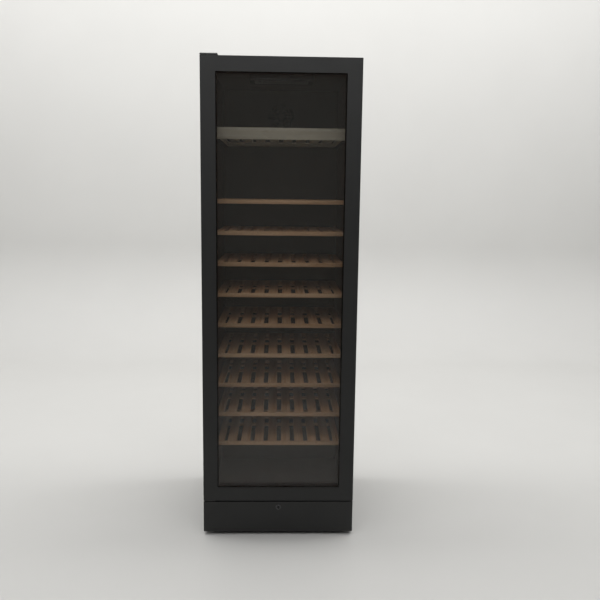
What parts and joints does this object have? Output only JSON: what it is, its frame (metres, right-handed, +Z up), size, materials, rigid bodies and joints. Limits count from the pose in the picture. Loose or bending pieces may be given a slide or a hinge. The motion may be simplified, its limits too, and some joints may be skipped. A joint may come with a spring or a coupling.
{
  "type": "wine cooler",
  "caption": "Tall free-standing wine cooler: black steel cabinet, full-height tinted glass door, slatted wooden shelves, keyed lock in the plinth.",
  "frame": {"origin": "on the floor, under the middle of the outside box of the cabinet", "axes": "+X to the right of a person facing the door, +Y from the door to the back, +Z up"},
  "size_m": [0.595, 0.6, 1.858],
  "materials": {
    "black_paint": "satin black powder coat with a very fine texture",
    "cover_plastic": "matt black moulded plastic, matched to the paint",
    "galvanised": "zinc-coated sheet, dull, with a faint spangle",
    "zinc_hardware": "bright zinc-plated steel",
    "foam": "foamed polyurethane with fine closed cells",
    "black_liner": "vacuum-formed black plastic, matt",
    "black_plastic": "moulded black plastic, matt",
    "tinted_glass": "dark tinted, polished, reflective",
    "clear_glass": "clear, polished",
    "spacer_bar": "black anodised, satin",
    "gasket_rubber": "soft black vinyl, matt",
    "bush_nylon": "smooth natural nylon",
    "beech": "planed beech, unvarnished, grain along each board",
    "fin_aluminium": "bare rolled aluminium",
    "diffuser": "milky translucent plastic",
    "compressor_black": "black stove enamel, semi-gloss",
    "grommet_rubber": "moulded rubber, matt",
    "condenser_black": "thin black paint on steel wire and plate",
    "copper": "drawn copper tube, slightly dulled",
    "lock_chrome": "polished chrome plate",
    "lock_steel": "zinc-plated pressing",
    "wheel_plastic": "dark grey nylon"
  },
  "bodies": {
    "cabinet": {"side_panel_left": "black_paint", "side_panel_right": "black_paint", "top_panel": "black_paint", "rear_panel": "galvanised", "insulation_foam": "foam", "inner_liner": "black_liner", "compartment_wall": "galvanised", "base_pan": "galvanised", "plinth": "black_paint", "top_hinge_bracket": "zinc_hardware", "bottom_hinge_bracket": "zinc_hardware", "hinge_pins": "zinc_hardware", "hinge_cover": "cover_plastic", "shelf_runners": "black_plastic", "duct_panel": "black_liner", "evaporator": "fin_aluminium", "fan_motor": "black_plastic", "control_housing": "black_plastic", "light_diffuser": "diffuser", "compressor": "compressor_black", "compressor_grommets": "grommet_rubber", "condenser": "condenser_black", "condenser_fan_mount": "galvanised", "drip_tray": "black_plastic", "refrigerant_pipes": "copper", "electronics_box": "black_plastic", "cord_gland": "black_plastic", "rear_grille": "galvanised", "screws": "zinc_hardware", "rivets": "zinc_hardware", "rear_spacers": "black_plastic", "lock_housing": "lock_chrome", "roller_brackets": "zinc_hardware"},
    "door": {"door_skin": "black_paint", "door_core": "foam", "door_inner_frame": "black_plastic", "outer_glass": "tinted_glass", "inner_glass": "clear_glass", "glass_spacer": "spacer_bar", "door_gasket": "gasket_rubber", "hinge_bushes": "bush_nylon", "lock_keeper": "lock_steel"},
    "lock": {"lock_barrel": "lock_chrome", "lock_cam": "lock_steel"},
    "circulation_fan": {"circulation_fan": "black_plastic"},
    "condenser_fan": {"condenser_fan": "black_plastic"},
    "foot_left": {"levelling_foot_left": "wheel_plastic"},
    "foot_right": {"levelling_foot_right": "wheel_plastic"},
    "roller_left": {"roller_left": "wheel_plastic"},
    "roller_right": {"roller_right": "wheel_plastic"},
    "display_shelf": {"display_shelf": "beech"},
    "shelf_1": {"wine_shelf_1": "beech"},
    "shelf_2": {"wine_shelf_2": "beech"},
    "shelf_3": {"wine_shelf_3": "beech"},
    "shelf_4": {"wine_shelf_4": "beech"},
    "shelf_5": {"wine_shelf_5": "beech"},
    "shelf_6": {"wine_shelf_6": "beech"},
    "shelf_7": {"wine_shelf_7": "beech"},
    "shelf_8": {"wine_shelf_8": "beech"},
    "shelf_9": {"wine_shelf_9": "beech"}
  },
  "joints": [
    {"name": "door_hinge", "type": "hinge", "parent": "cabinet", "child": "door", "pos_m": [-0.282, -0.281, 0.9], "axis": [0, 0, -1], "range_deg": [0, 120]},
    {"name": "lock_turn", "type": "hinge", "parent": "cabinet", "child": "lock", "pos_m": [0, -0.2825, 0.1175], "axis": [0, 1, 0], "range_deg": [0, 90]},
    {"name": "circulation_fan_spin", "type": "hinge", "parent": "cabinet", "child": "circulation_fan", "pos_m": [0, 0.21, 1.69], "axis": [0, 1, 0], "continuous": true},
    {"name": "condenser_fan_spin", "type": "hinge", "parent": "cabinet", "child": "condenser_fan", "pos_m": [-0.157, 0.17, 0.165], "axis": [1, 0, 0], "continuous": true},
    {"name": "foot_left_height", "type": "slide", "parent": "cabinet", "child": "foot_left", "axis": [0, 0, -1], "range_m": [0, 0.012]},
    {"name": "foot_right_height", "type": "slide", "parent": "cabinet", "child": "foot_right", "axis": [0, 0, -1], "range_m": [0, 0.012]},
    {"name": "roller_left_spin", "type": "hinge", "parent": "cabinet", "child": "roller_left", "pos_m": [-0.235, 0.235, 0.018], "axis": [1, 0, 0], "continuous": true},
    {"name": "roller_right_spin", "type": "hinge", "parent": "cabinet", "child": "roller_right", "pos_m": [0.235, 0.235, 0.018], "axis": [1, 0, 0], "continuous": true},
    {"name": "display_shelf_slide", "type": "slide", "parent": "cabinet", "child": "display_shelf", "axis": [0, -1, 0], "range_m": [0, 0.2]},
    {"name": "shelf_1_slide", "type": "slide", "parent": "cabinet", "child": "shelf_1", "axis": [0, -1, 0], "range_m": [0, 0.2]},
    {"name": "shelf_2_slide", "type": "slide", "parent": "cabinet", "child": "shelf_2", "axis": [0, -1, 0], "range_m": [0, 0.2]},
    {"name": "shelf_3_slide", "type": "slide", "parent": "cabinet", "child": "shelf_3", "axis": [0, -1, 0], "range_m": [0, 0.2]},
    {"name": "shelf_4_slide", "type": "slide", "parent": "cabinet", "child": "shelf_4", "axis": [0, -1, 0], "range_m": [0, 0.2]},
    {"name": "shelf_5_slide", "type": "slide", "parent": "cabinet", "child": "shelf_5", "axis": [0, -1, 0], "range_m": [0, 0.2]},
    {"name": "shelf_6_slide", "type": "slide", "parent": "cabinet", "child": "shelf_6", "axis": [0, -1, 0], "range_m": [0, 0.2]},
    {"name": "shelf_7_slide", "type": "slide", "parent": "cabinet", "child": "shelf_7", "axis": [0, -1, 0], "range_m": [0, 0.2]},
    {"name": "shelf_8_slide", "type": "slide", "parent": "cabinet", "child": "shelf_8", "axis": [0, -1, 0], "range_m": [0, 0.2]},
    {"name": "shelf_9_slide", "type": "slide", "parent": "cabinet", "child": "shelf_9", "axis": [0, -1, 0], "range_m": [0, 0.2]}
  ],
  "couplings": [
    {"joint": "display_shelf_slide", "follows": "door_hinge", "m_per_rad": 0.058},
    {"joint": "shelf_1_slide", "follows": "door_hinge", "m_per_rad": 0.058},
    {"joint": "shelf_2_slide", "follows": "door_hinge", "m_per_rad": 0.058},
    {"joint": "shelf_3_slide", "follows": "door_hinge", "m_per_rad": 0.058},
    {"joint": "shelf_4_slide", "follows": "door_hinge", "m_per_rad": 0.058},
    {"joint": "shelf_5_slide", "follows": "door_hinge", "m_per_rad": 0.058},
    {"joint": "shelf_6_slide", "follows": "door_hinge", "m_per_rad": 0.058},
    {"joint": "shelf_7_slide", "follows": "door_hinge", "m_per_rad": 0.058},
    {"joint": "shelf_8_slide", "follows": "door_hinge", "m_per_rad": 0.058},
    {"joint": "shelf_9_slide", "follows": "door_hinge", "m_per_rad": 0.058}
  ]
}
